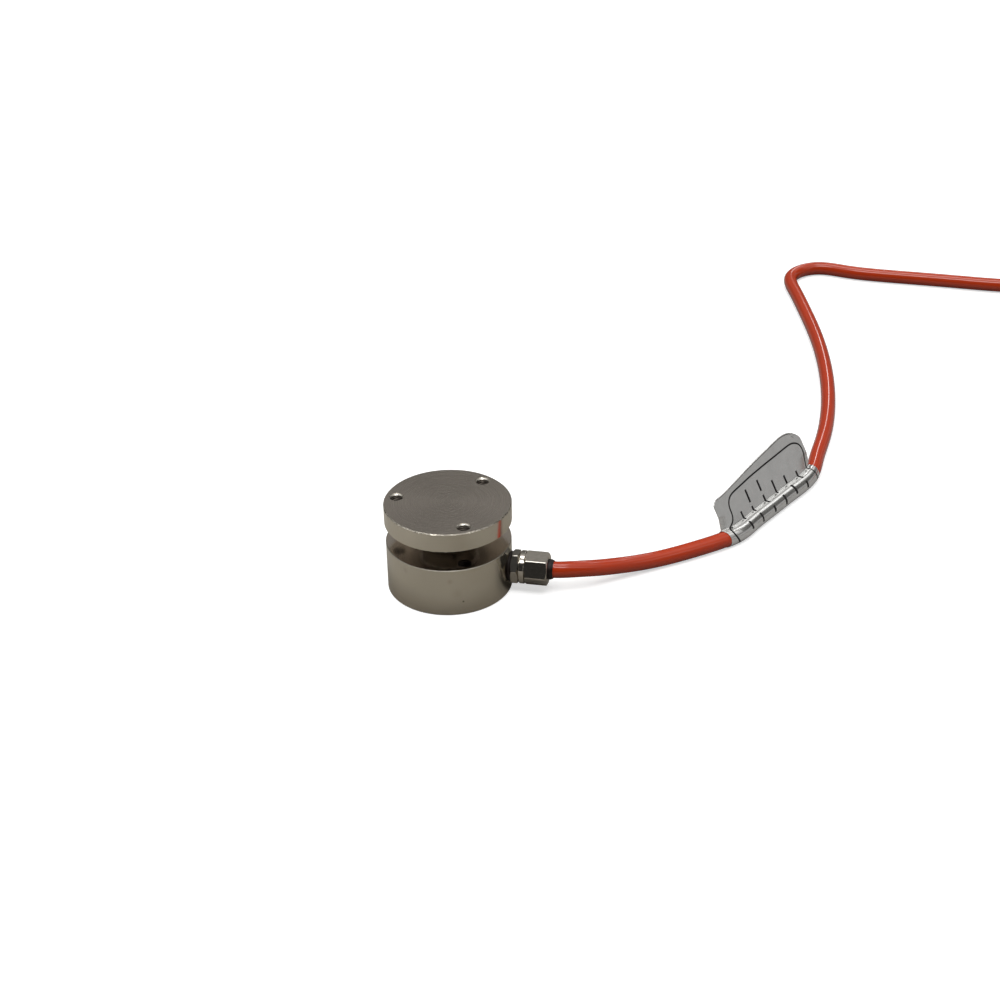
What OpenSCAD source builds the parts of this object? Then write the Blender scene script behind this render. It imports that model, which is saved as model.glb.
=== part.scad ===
// Inline load cell, flange to flange, for tension and compression.
// A top disc and a lower ring are turned from one bar; a thin diaphragm between
// the neck and the ring carries four foil strain gauges in a closed cavity.
// Axis of load along Z, base on Z = 0, cable gland along +X. Millimetres.

/* [Elastic body] */
// Diameter of the top disc
disc_d = 38; // [30:0.5:60]
// Thickness of the top disc
disc_t = 6; // [4:0.5:12]
// Height of the open groove between disc and lower ring
groove_h = 6.5; // [4:0.5:12]
// Diameter of the lower ring
lower_d = 37.5; // [30:0.5:60]
// Height of the lower ring
lower_h = 15.5; // [12:0.5:25]
// Diameter of the neck inside the groove
neck_d = 16; // [10:0.5:24]
// Chamfer on the top disc's upper edge
edge_c = 0.3; // [0.1:0.1:1]

/* [Threaded holes] */
// Number of threaded holes in each face
hole_n = 3; // [3:1:6]
// Pitch circle of the holes
hole_pcd = 31; // [24:0.5:50]
// Nominal thread diameter
hole_d = 4; // [3:0.5:8]
// Extra radius of the chamfer at each hole's mouth
hole_c = 0.2; // [0.1:0.05:0.6]

/* [Gauge cavity] */
// Diameter of the gauge cavity
cavity_d = 23; // [16:0.5:40]
// Thickness of the diaphragm over the cavity
web_t = 2.5; // [1:0.1:5]
// Diameter of the bottom cover
cover_d = 25; // [18:0.5:44]
// Thickness of the bottom cover
cover_t = 1.2; // [0.5:0.1:3]
// How far the cover sits above the base face
cover_sink = 0.3; // [0.1:0.1:1]

/* [Gland] */
// Height of the gland's axis above the base
gland_z = 7.5; // [6:0.25:12]
// Width across flats of hexagon and nut
gland_af = 9; // [8:0.5:14]
// Turn of the fixed hexagon about its axis
hex_turn = 19; // [0:1:60]
// Turn of the nut about its axis
nut_turn = 38; // [0:1:60]
// Diameter of the nut's round collar
collar_d = 10; // [9:0.25:14]

/* [Cable] */
// Diameter of the cable's jacket
cable_d = 5; // [3:0.1:6]
// Mean radius of the put-away coil
coil_r = 26.2; // [22:0.1:40]
// Layers of turns in the coil
coil_layers = 4; // [2:1:6]
// Turns side by side in a layer
coil_rows = 4; // [2:1:6]
// Length of each stripped conductor at the far end
lead_len = 34; // [20:1:60]

/* [Label] */
// Length of the foil label along the cable
label_len = 48; // [46:1:60]
// Lean of the flag above the floor
label_lean = 60; // [30:1:90]

/* [Hidden] */

total_h = lower_h + groove_h + disc_t;
disc_r = disc_d / 2;
lower_r = lower_d / 2;
neck_r = neck_d / 2;
hole_r = hole_d / 2;
cavity_r = cavity_d / 2;
cover_r = cover_d / 2;
cable_r = cable_d / 2;
web_z = lower_h - web_t;            // underside of the diaphragm
disc_z = lower_h + groove_h;        // underside of the top disc

// stations along the gland's axis
port_r = 3.5;                       // gland thread in the body
seat_x = 18.15;                     // floor of the ring's seat
hex_x = 19.15;                      // inner face of the fixed hexagon
hex_end = 21.6;
nose_end = 28.4;                    // end of the threaded nose
nut_x = 21.8;                       // rear end of the nut's collar
nut_hex_x = 23.35;
nut_wall_x = 29.25;                 // inside of the nut's end wall
nut_end = 30.25;
seal_end = 31.7;

steel = [0.50, 0.48, 0.44];
plated = [0.55, 0.54, 0.52];
orange = [0.72, 0.20, 0.10];

// ---- points along a route: a smooth curve through points chosen by hand ----
function gap(p, i) = norm(p[i + 1] - p[i]);
function slope(p, i) =
    i == 0 ? (p[1] - p[0]) / gap(p, 0)
  : i == len(p) - 1 ? (p[i] - p[i - 1]) / gap(p, i - 1)
  : (p[i + 1] - p[i - 1]) / (gap(p, i) + gap(p, i - 1));
function between(p, i, t) =
    let (h = gap(p, i), a = t * t * (3 - 2 * t))
    p[i] * (1 - a) + p[i + 1] * a
    + slope(p, i) * (h * t * (1 - t) * (1 - t))
    - slope(p, i + 1) * (h * t * t * (1 - t));
function smooth(p, n) = [
    for (i = [0:len(p) - 2]) for (k = [0:n - 1]) between(p, i, k / n),
    p[len(p) - 1]];

function unit(v) = v / norm(v);
function heading(p, i) = unit(
    i == 0 ? p[1] - p[0]
  : i == len(p) - 1 ? p[i] - p[i - 1]
  : unit(p[i + 1] - p[i]) + unit(p[i] - p[i - 1]));
function ring(p, i, r, n, side) =
    let (t = heading(p, i), s = unit(cross(side, t)), u = cross(t, s))
    [for (k = [0:n - 1]) p[i] + s * (r * cos(360 * k / n)) + u * (r * sin(360 * k / n))];

// One closed tube swept along points p. side is a direction the tube never runs along.
module tube(p, r, n = 8, side = [0, 0, 1]) {
    m = len(p);
    polyhedron(
        points = [for (i = [0:m - 1]) each ring(p, i, r, n, side)],
        faces = concat(
            [[for (k = [0:n - 1]) k]],
            [for (i = [0:m - 2]) for (k = [0:n - 1]) each [
                [i * n + k, (i + 1) * n + k, (i + 1) * n + (k + 1) % n],
                [i * n + k, (i + 1) * n + (k + 1) % n, i * n + (k + 1) % n]]],
            [[for (k = [n - 1:-1:0]) (m - 1) * n + k]]),
        convexity = 6);
}

// The cable's route: out of the gland, down to the floor, through the label,
// back along the floor, round one bend and away to the coil.
cable_route = [
    [31.5, 0, 7.5], [35, 0.7, 7.4], [39, 2.6, 6.9], [43.5, 5.5, 5.9], [49, 9.8, 4.5],
    [55, 14.3, 3.4], [61, 18.7, 2.8], [67.5, 23.4, 2.7], [74, 28.5, 2.7], [79, 32.8, 2.7],
    [82.6, 36.7, 2.7], [87.2, 45.7, 2.7], [91.8, 54.7, 2.7], [96.4, 63.7, 2.7],
    [101, 72.7, 2.7], [102.9, 78.5, 2.7], [103.8, 88.4, 2.6], [105, 102, 2.5], [105.6, 119, 2.5],
    [104.8, 136.5, 2.5], [102.9, 153.5, 2.5], [99.8, 171.5, 2.5], [95.6, 189.5, 2.5],
    [90.8, 207, 2.5], [87.6, 218, 2.5], [85.3, 226, 2.5], [84.9, 231.4, 2.5],
    [86.9, 236.4, 2.5], [90.7, 240.1, 2.5], [95.8, 241.9, 2.5], [101.1, 241.4, 2.5],
    [106.5, 240.1, 2.5], [112, 239.2, 2.5], [119.5, 238.6, 2.5], [131, 238.1, 2.5],
    [145, 237.5, 2.5], [160, 236.5, 2.6], [175, 236.2, 2.8], [190, 236.5, 3], [205, 236.7, 3.1]];

// The tail from the coil's top layer down to the floor.
tail_route = [
    [253.7, 203, 18.1], [253.9, 194, 18], [254.2, 186, 16.8], [254.5, 178, 13.6], [254.6, 170, 9.4],
    [254.6, 162, 5.6], [254.6, 154, 3.5], [254.6, 146, 3], [254.6, 134, 3], [254.6, 122, 3]];

coil_pos = [220, 203, 0.6];
tail_end = [254.6, 122, 3];             // where the jacket ends

// ---- elastic body ----
module body_section() {
    difference() {
        union() {
            polygon([[0, 0], [lower_r - 0.3, 0], [lower_r, 0.3], [lower_r, lower_h - 0.2],
                [lower_r - 0.2, lower_h], [0, lower_h]]);
            square([neck_r, total_h - 1]);
            polygon([[0, disc_z], [disc_r - 0.2, disc_z], [disc_r, disc_z + 0.2],
                [disc_r, total_h - edge_c], [disc_r - edge_c, total_h], [0, total_h]]);
            difference() {
                translate([0, lower_h - 0.1]) square([neck_r + 1, 1.1]);
                translate([neck_r + 1, lower_h + 1]) circle(r = 1, $fn = 48);
            }
            difference() {
                translate([0, disc_z - 1]) square([neck_r + 1, 1.1]);
                translate([neck_r + 1, disc_z - 1]) circle(r = 1, $fn = 48);
            }
        }
        // gauge cavity with a rounded upper corner
        translate([-1, -1]) square([cavity_r + 1, web_z - 1.5 + 1]);
        translate([-1, -1]) square([cavity_r - 1.5 + 1, web_z + 1]);
        translate([cavity_r - 1.5, web_z - 1.5]) circle(r = 1.5, $fn = 48);
        // seat of the bottom cover
        translate([-1, -1]) square([cover_r + 0.05 + 1, cover_sink + cover_t + 1]);
    }
}

module elastic_body() {
    color(steel) difference() {
        rotate_extrude($fn = 120) body_section();
        for (i = [0:hole_n - 1]) rotate([0, 0, 180 + 360 * i / hole_n]) translate([hole_pcd / 2, 0, 0]) {
            translate([0, 0, -1]) cylinder(r = hole_r, h = total_h + 2, $fn = 48);
            translate([0, 0, total_h - hole_c]) cylinder(r1 = hole_r, r2 = hole_r + 2 * hole_c, h = 2 * hole_c, $fn = 48);
            translate([0, 0, -hole_c]) cylinder(r1 = hole_r + 2 * hole_c, r2 = hole_r, h = 2 * hole_c, $fn = 48);
        }
        along_gland(cavity_r - 2) cylinder(r = port_r, h = 12, $fn = 48);
        along_gland(seat_x) cylinder(r = 4.7, h = 3, $fn = 48);
    }
}

module along_gland(x) {
    translate([x, 0, gland_z]) rotate([0, 90, 0]) children();
}

// ---- closing the cavity ----
module bottom_cover() {
    color(steel) translate([0, 0, cover_sink]) difference() {
        cylinder(r = cover_r, h = cover_t, $fn = 96);
        // shallow turned step on the inside
        translate([0, 0, cover_t - 0.3]) difference() {
            cylinder(r = cover_r + 1, h = 1, $fn = 96);
            translate([0, 0, -1]) cylinder(r = cover_r - 0.6, h = 3, $fn = 96);
            translate([0, 0, -1]) cylinder(r = cover_r + 2, h = 1, $fn = 96);
        }
    }
}

module cover_sealant() {
    color([0.15, 0.15, 0.16]) rotate_extrude($fn = 96)
        polygon([[cover_r - 0.7, cover_sink], [cover_r + 0.05, cover_sink],
            [cover_r + 0.05, 0.05], [cover_r - 0.15, 0.05]]);
}

// ---- bridge circuit ----
module strain_gauge(angle) {
    color([0.80, 0.55, 0.20]) rotate([0, 0, angle]) translate([8.2, -1.6, web_z - 0.1])
        cube([1.8, 3.2, 0.1]);
}

module terminal_board() {
    color([0.10, 0.40, 0.20]) translate([0, 0, web_z - 0.8]) cylinder(r = 6, h = 0.8, $fn = 64);
}

module chip(x, y, turn) {
    color([0.15, 0.15, 0.15]) translate([x, y, web_z - 1.3]) rotate([0, 0, turn])
        translate([-1, -0.6, 0]) cube([2, 1.2, 0.5]);
}

module gauge_lead_wires() {
    color([0.75, 0.45, 0.20]) for (a = [45:90:315]) for (y = [-1, 0, 1])
        rotate([0, 0, a]) tube([[8.9, y, web_z - 0.2], [7.4, y, web_z - 0.6],
            [6.4, y * 0.9, web_z - 0.95], [5.2, y * 0.8, web_z - 0.9]], 0.1, 6, [0, 1, 0]);
}

// ---- gland ----
module gland_body() {
    color(plated) difference() {
        union() {
            along_gland(12) cylinder(r = port_r - 0.05, h = hex_x - 12 + 0.1, $fn = 48);
            along_gland(hex_x) rotate([0, 0, hex_turn]) cylinder(r = gland_af / sqrt(3), h = hex_end - hex_x, $fn = 6);
            along_gland(hex_end - 0.1) cylinder(r = 3.95, h = nose_end - hex_end + 0.1, $fn = 48);
        }
        along_gland(11) cylinder(r = cable_r + 0.1, h = 20, $fn = 48);
        along_gland(25.5) cylinder(r1 = 2.9, r2 = 3.6, h = nose_end - 25.5, $fn = 48);
        along_gland(nose_end - 0.01) cylinder(r = 3.6, h = 1, $fn = 48);
    }
}

module gland_o_ring() {
    color([0.05, 0.05, 0.05]) along_gland(seat_x) rotate_extrude($fn = 64)
        translate([4.05, 0.5]) circle(r = 0.5, $fn = 32);
}

module gland_slip_washer() {
    color([0.65, 0.62, 0.50]) along_gland(nut_wall_x - 0.3) difference() {
        cylinder(r = 3.9, h = 0.3, $fn = 48);
        translate([0, 0, -1]) cylinder(r = 3.15, h = 3, $fn = 48);
    }
}

module gland_seal() {
    color([0.05, 0.05, 0.05]) along_gland(0) rotate_extrude($fn = 64)
        polygon([[cable_r, 25.5], [2.85, 25.5], [3.55, nose_end], [3.55, nut_wall_x - 0.3],
            [3.05, nut_wall_x - 0.3], [3.05, 31.05], [2.8, seal_end], [cable_r, seal_end]]);
}

module gland_nut() {
    color(plated) difference() {
        union() {
            along_gland(nut_x) cylinder(r = collar_d / 2, h = nut_hex_x - nut_x + 0.1, $fn = 64);
            intersection() {
                along_gland(nut_hex_x) rotate([0, 0, nut_turn]) cylinder(r = gland_af / sqrt(3), h = nut_end - nut_hex_x, $fn = 6);
                // 30 degree chamfer on the outer end's corners
                along_gland(nut_hex_x) cylinder(r1 = gland_af / 2 - 0.1 + (nut_end - nut_hex_x) * 1.732, r2 = gland_af / 2 - 0.1, h = nut_end - nut_hex_x, $fn = 64);
            }
        }
        along_gland(nut_x - 1) cylinder(r = 4, h = nut_wall_x - nut_x + 1, $fn = 48);
        along_gland(nut_x) cylinder(r = 3.1, h = 12, $fn = 48);
    }
}

// ---- cable and its ends ----
module inner_sleeve() {
    color([0.08, 0.08, 0.08]) along_gland(8.4) difference() {
        cylinder(r = cable_r + 0.35, h = 3.2, $fn = 48);
        translate([0, 0, 1.6]) cylinder(r = cable_r, h = 3, $fn = 48);
        translate([0, 0, -1]) cylinder(r = 1.7, h = 5, $fn = 48);
    }
}

module core_end(p, r, tint) {
    color(tint) tube(smooth(p, 2), r, 8, [0, 1, 0.02]);
}

module cable() {
    color(orange) tube(concat([[10, 0, gland_z], [20.5, 0, gland_z]], smooth(cable_route, 2)), cable_r, 10);
}

module cable_coil() {
    w = coil_rows * cable_d / 2;
    color(orange) translate(coil_pos) difference() {
        cylinder(r = coil_r + w, h = coil_layers * cable_d, $fn = 96);
        translate([0, 0, -1]) cylinder(r = coil_r - w, h = 60, $fn = 96);
    }
}

module cable_tail() {
    color(orange) tube(smooth(tail_route, 2), cable_r, 10);
}

// A strap round the coil's section.
module coil_tie(angle) {
    w = coil_rows * cable_d / 2;
    h = coil_layers * cable_d;
    color([0.10, 0.10, 0.10]) translate([coil_pos[0], coil_pos[1], 0]) rotate([0, 0, angle - 7])
        rotate_extrude(angle = 14, $fn = 96) difference() {
            translate([coil_r - w - 0.6, 0]) square([2 * w + 1.2, h + 1.2]);
            translate([coil_r - w, 0.6]) square([2 * w, h]);
        }
}

module tail_sleeve() {
    color([0.08, 0.08, 0.08]) translate(tail_end + [0, 9, 0]) rotate([90, 0, 0]) difference() {
        cylinder(r = cable_r + 0.4, h = 10.5, $fn = 48);
        translate([0, 0, -1]) cylinder(r = cable_r, h = 10, $fn = 48);
        cylinder(r = 1.9, h = 12, $fn = 48);
    }
}

module far_end(x, z, bend, tint, r = 0.55) {
    color(tint) translate([tail_end[0], tail_end[1], 0]) tube(smooth([[x, 0, 3 + z], [x, -4, 2.8 + z],
        [x + 0.4 * bend, -10, (3.4 + z) / 2], [x + bend, -17, 0.65],
        [x + 1.6 * bend, -25, 0.65], [x + 2 * bend, -lead_len, 0.65]], 2), r, 8);
}

// ---- label ----
// Foil folded round the cable and stuck to itself as a leaning flag.
module cable_label() {
    turn = atan2(9, 4.6);
    color([0.60, 0.61, 0.60]) translate([82, 35.5, 2.7]) rotate([0, 0, turn]) {
        translate([-1, 0, 0]) rotate([0, 90, 0]) difference() {
            cylinder(r = cable_r + 0.2, h = label_len + 1, $fn = 48);
            translate([0, 0, -1]) cylinder(r = cable_r + 0.05, h = label_len + 3, $fn = 48);
        }
        rotate([label_lean, 0, 0]) translate([0, 0, -0.1]) linear_extrude(0.2)
            polygon([[-1, 2.65], [-3.4, 3.6], [-3.4, 11.5], [-2.6, 12.6], [-1.2, 13.1], [20, 15.7], [39.5, 17.5],
                [43, 16.9], [46.5, 15.2], [48.4, 13.2], [48.6, 10], [label_len, 6.5], [label_len, 2.65]]);
    }
}

elastic_body();
bottom_cover();
cover_sealant();
strain_gauge(45);  // strain_gauge_1
strain_gauge(135);  // strain_gauge_2
strain_gauge(225);  // strain_gauge_3
strain_gauge(315);  // strain_gauge_4
terminal_board();
chip(-3.2, 0, 90);  // zero_resistor
chip(-1.2, 3.6, 30);  // span_resistor
chip(-1.2, -3.6, -30);  // temperature_resistor
gauge_lead_wires();
gland_body();
gland_o_ring();
gland_slip_washer();
gland_seal();
gland_nut();
inner_sleeve();
core_end([[10, 0.7, 8.2], [7.6, 0.8, 8.3], [5.4, 1.3, 9.6], [4.4, 1.5, 11], [4.2, 1.5, 12.15]], 0.5, [0.7, 0.08, 0.06]);  // core_red_inner_end
core_end([[10, -0.7, 8.2], [7.6, -0.8, 8.3], [5.4, -1.3, 9.6], [4.4, -1.5, 11], [4.2, -1.5, 12.15]], 0.5, [0.05, 0.05, 0.05]);  // core_black_inner_end
core_end([[10, 0.7, 6.8], [7, 1, 6.7], [3.6, 2.6, 7.8], [2.1, 3.6, 10], [1.9, 3.7, 12.15]], 0.5, [0.05, 0.35, 0.12]);  // core_green_inner_end
core_end([[10, -0.7, 6.8], [7, -1, 6.7], [3.6, -2.6, 7.8], [2.1, -3.6, 10], [1.9, -3.7, 12.15]], 0.5, [0.85, 0.85, 0.82]);  // core_white_inner_end
core_end([[10, 0, 7.5], [6.5, 0, 7.5], [3, 0, 8.6], [1.4, 0, 10.4], [1.2, 0, 12.15]], 0.3, [0.7, 0.7, 0.68]);  // shield_wire_inner_end
cable();
cable_coil();
cable_tail();
coil_tie(135);  // coil_tie_a
coil_tie(315);  // coil_tie_b
tail_sleeve();
far_end(-0.7, 0.7, -9, [0.7, 0.08, 0.06]);  // core_red_far_end
far_end(0.7, 0.7, 4, [0.05, 0.05, 0.05]);  // core_black_far_end
far_end(-0.7, -0.7, -4, [0.05, 0.35, 0.12]);  // core_green_far_end
far_end(0.7, -0.7, 9, [0.85, 0.85, 0.82]);  // core_white_far_end
far_end(0, 0, 0, [0.7, 0.7, 0.68], 0.35);  // shield_wire_far_end
cable_label();
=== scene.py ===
import bpy, bmesh, math
import numpy as np
from mathutils import Vector, Matrix


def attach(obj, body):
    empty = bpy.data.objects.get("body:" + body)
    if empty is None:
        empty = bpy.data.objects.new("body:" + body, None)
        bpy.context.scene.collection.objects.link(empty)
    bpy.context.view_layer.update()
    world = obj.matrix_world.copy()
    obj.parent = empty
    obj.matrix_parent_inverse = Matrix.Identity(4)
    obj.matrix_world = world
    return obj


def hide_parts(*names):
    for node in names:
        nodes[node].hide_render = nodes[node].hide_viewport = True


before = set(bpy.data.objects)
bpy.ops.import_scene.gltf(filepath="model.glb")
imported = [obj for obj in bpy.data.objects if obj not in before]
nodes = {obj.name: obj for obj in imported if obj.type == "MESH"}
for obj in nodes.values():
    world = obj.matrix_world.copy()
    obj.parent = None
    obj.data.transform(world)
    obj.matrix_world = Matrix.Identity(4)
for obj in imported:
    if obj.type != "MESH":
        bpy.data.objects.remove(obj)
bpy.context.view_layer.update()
scene = bpy.context.scene
MM = 0.001
PI = math.pi


# ------------------------------------------------------------------ camera
cam_data = bpy.data.cameras.new("camera")
cam_data.sensor_fit = "HORIZONTAL"
cam_data.sensor_width = 36.0
cam_data.lens = 72.0
cam_data.clip_start = 0.01
cam_data.clip_end = 20.0
camera = bpy.data.objects.new("camera", cam_data)
scene.collection.objects.link(camera)
cam_right = Vector((0.980238, 0.196922, -0.018851))
cam_up = Vector((-0.084623, 0.503547, 0.859814))
cam_back = Vector((0.178808, -0.841227, 0.51026))
cam_place = Vector((0.120585, -0.492756, 0.328871))
m = Matrix.Identity(4)
for i in range(3):
    m[i][0], m[i][1], m[i][2], m[i][3] = cam_right[i], cam_up[i], cam_back[i], cam_place[i]
camera.matrix_world = m
scene.camera = camera


# ------------------------------------------------------------------ helpers
def smooth_curve(points, step, start=None, end=None):
    """A smooth curve (continuous bend) through points, about one place every step."""
    p = np.array(points, float)
    d = np.linalg.norm(np.diff(p, axis=0), axis=1)
    n = len(p)
    a = np.zeros((n, n))
    b = np.zeros((n, 3))
    if start is None:
        a[0, 0], a[0, 1] = 2, 1
        b[0] = 3 * (p[1] - p[0]) / d[0]
    else:
        a[0, 0] = 1
        b[0] = start
    if end is None:
        a[-1, -1], a[-1, -2] = 2, 1
        b[-1] = 3 * (p[-1] - p[-2]) / d[-1]
    else:
        a[-1, -1] = 1
        b[-1] = end
    for i in range(1, n - 1):
        l, r = d[i - 1], d[i]
        a[i, i - 1], a[i, i], a[i, i + 1] = r, 2 * (l + r), l
        b[i] = 3 * (r * (p[i] - p[i - 1]) / l + l * (p[i + 1] - p[i]) / r)
    t = np.linalg.solve(a, b)
    out = []
    for i in range(n - 1):
        h = d[i]
        for j in range(k := max(2, int(math.ceil(h / step)))):
            u = j / k
            out.append(p[i] * (2 * u**3 - 3 * u * u + 1) + t[i] * h * (u**3 - 2 * u * u + u)
                       + p[i + 1] * (3 * u * u - 2 * u**3) + t[i + 1] * h * (u**3 - u * u))
    out.append(p[-1])
    return np.array(out)


def frames_along(p):
    """Tangent, side and top at each point, carried along without twist."""
    t = np.gradient(p, axis=0)
    t /= np.linalg.norm(t, axis=1)[:, None]
    side = np.cross(t[0], [0, 0, 1.0])
    if np.linalg.norm(side) < 1e-6:
        side = np.cross(t[0], [0, 1.0, 0])
    side /= np.linalg.norm(side)
    s, u = [], []
    for k in t:
        side = side - k * side.dot(k)
        side /= np.linalg.norm(side)
        s.append(side.copy())
        u.append(np.cross(side, k))
    return t, np.array(s), np.array(u)


def make(name, verts, faces, mats, uvs=None, face_mats=None, smooth=True):
    """A mesh object from places in millimetres."""
    me = bpy.data.meshes.new(name)
    me.from_pydata([tuple(float(c) * MM for c in v) for v in verts], [], [tuple(f) for f in faces])
    for mat in mats:
        me.materials.append(mat)
    if uvs is not None:
        layer = me.uv_layers.new(name="UVMap")
        flat = np.array([uvs[i] for f in faces for i in f] if len(uvs) == len(verts) else uvs, float)
        layer.data.foreach_set("uv", flat.ravel())
    if face_mats is not None:
        me.polygons.foreach_set("material_index", face_mats)
    me.polygons.foreach_set("use_smooth", [smooth] * len(me.polygons))
    me.validate()
    me.update()
    o = bpy.data.objects.new(name, me)
    scene.collection.objects.link(o)
    return o


def tube_mesh(p, radius, sides):
    """Vertices, faces and (round, along) coordinates of a closed tube along p."""
    p = np.array(p, float)
    n = len(p)
    r = np.full(n, radius, float) if np.isscalar(radius) else np.array(radius, float)
    _, s, u = frames_along(p)
    along = np.concatenate([[0], np.cumsum(np.linalg.norm(np.diff(p, axis=0), axis=1))])
    ang = np.arange(sides) * 2 * PI / sides
    v, f, uv = [], [], []
    for i in range(n):
        for a in ang:
            v.append(p[i] + r[i] * (math.cos(a) * s[i] + math.sin(a) * u[i]))
    for i in range(n - 1):
        for k in range(sides):
            k2 = (k + 1) % sides
            f.append((i * sides + k, i * sides + k2, (i + 1) * sides + k2, (i + 1) * sides + k))
            uv += [(k / sides, along[i]), ((k + 1) / sides, along[i]), ((k + 1) / sides, along[i + 1]), (k / sides, along[i + 1])]
    f.append(tuple(range(sides - 1, -1, -1)))
    uv += [(0.5, along[0])] * sides
    f.append(tuple((n - 1) * sides + k for k in range(sides)))
    uv += [(0.5, along[-1])] * sides
    return v, f, uv


def fix_normals(o):
    bm = bmesh.new()
    bm.from_mesh(o.data)
    bmesh.ops.recalc_face_normals(bm, faces=bm.faces)
    bm.to_mesh(o.data)
    bm.free()
    o.data.update()


def sharpen(o, degrees=35):
    """Smooth shading with sharp edges over an angle, weighted by face area."""
    bm = bmesh.new()
    bm.from_mesh(o.data)
    for e in bm.edges:
        e.smooth = not (len(e.link_faces) == 2 and e.calc_face_angle(0) > math.radians(degrees))
    bm.to_mesh(o.data)
    bm.free()
    w = o.modifiers.new("weights", "WEIGHTED_NORMAL")
    w.keep_sharp = True
    w.weight = 80


def lathe(name, profile, axis_point, axis="x", seg=96, mats=(), radius_of=None, closed=True):
    """Turns a closed profile of (along, radius) about an axis. radius_of(r, angle, i) may change a radius."""
    v, f = [], []
    n = len(profile)
    for k in range(seg):
        a = 2 * PI * k / seg
        for i, (x, r) in enumerate(profile):
            rr, xx = (r, x) if radius_of is None else radius_of(x, r, a, i)
            c, s = rr * math.cos(a), rr * math.sin(a)
            q = (xx, c, s) if axis == "x" else (c, s, xx)
            v.append(np.array(axis_point) + np.array(q))
    for k in range(seg):
        k2 = (k + 1) % seg
        for i in range(n if closed else n - 1):
            j = (i + 1) % n
            f.append((k * n + i, k * n + j, k2 * n + j, k2 * n + i))
    o = make(name, v, f, mats)
    fix_normals(o)
    return o


# ------------------------------------------------------------------ materials
class Nodes:
    """Short names for building a material's node tree."""
    def __init__(self, name):
        self.mat = bpy.data.materials.new(name)
        self.mat.use_nodes = True
        self.t = self.mat.node_tree
        self.t.nodes.clear()
        self.out = self.add("ShaderNodeOutputMaterial")
        self.p = self.add("ShaderNodeBsdfPrincipled")
        self.t.links.new(self.p.outputs[0], self.out.inputs["Surface"])

    def add(self, kind, **facts):
        n = self.t.nodes.new(kind)
        for k, v in facts.items():
            setattr(n, k, v)
        return n

    def link(self, a, b):
        self.t.links.new(a, b)
        return b

    def set(self, **facts):
        for k, v in facts.items():
            k = k.replace("_", " ")
            for s in self.p.inputs:
                if s.name.lower() == k.lower():
                    s.default_value = v
                    break
            else:
                raise ValueError(k)

    def math(self, op, a, b=None, clamp=False):
        n = self.add("ShaderNodeMath", operation=op, use_clamp=clamp)
        for i, x in enumerate((a, b)):
            if x is None:
                continue
            if isinstance(x, (int, float)):
                n.inputs[i].default_value = x
            else:
                self.link(x, n.inputs[i])
        return n.outputs[0]

    def vmath(self, op, a, b=None):
        n = self.add("ShaderNodeVectorMath", operation=op)
        for i, x in enumerate((a, b)):
            if x is None:
                continue
            if isinstance(x, (tuple, list)):
                n.inputs[i].default_value = x
            else:
                self.link(x, n.inputs[i])
        return n.outputs["Value" if op in ("DISTANCE", "LENGTH", "DOT_PRODUCT") else "Vector"]

    def noise(self, where, scale, detail=3.0, rough=0.55, distortion=0.0):
        n = self.add("ShaderNodeTexNoise")
        if where is not None:
            self.link(where, n.inputs["Vector"])
        n.inputs["Scale"].default_value = scale
        n.inputs["Detail"].default_value = detail
        n.inputs["Roughness"].default_value = rough
        n.inputs["Distortion"].default_value = distortion
        return n.outputs["Fac"]

    def span(self, value, lo, hi, to_lo=0.0, to_hi=1.0):
        n = self.add("ShaderNodeMapRange")
        self.link(value, n.inputs["Value"])
        for k, x in (("From Min", lo), ("From Max", hi), ("To Min", to_lo), ("To Max", to_hi)):
            n.inputs[k].default_value = x
        return n.outputs[0]

    def mix(self, fac, a, b):
        n = self.add("ShaderNodeMix", data_type="RGBA")
        self.link(fac, n.inputs[0])
        for i, x in ((6, a), (7, b)):
            if isinstance(x, (tuple, list)):
                n.inputs[i].default_value = (*x[:3], 1.0)
            else:
                self.link(x, n.inputs[i])
        return n.outputs[2]

    def bump(self, height, strength, distance, normal=None):
        n = self.add("ShaderNodeBump")
        n.inputs["Strength"].default_value = strength
        n.inputs["Distance"].default_value = distance
        self.link(height, n.inputs["Height"])
        if normal is not None:
            self.link(normal, n.inputs["Normal"])
        return n.outputs[0]

    def here(self):
        return self.add("ShaderNodeTexCoord").outputs["Object"]

    def uv(self):
        return self.add("ShaderNodeTexCoord").outputs["UV"]


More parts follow.
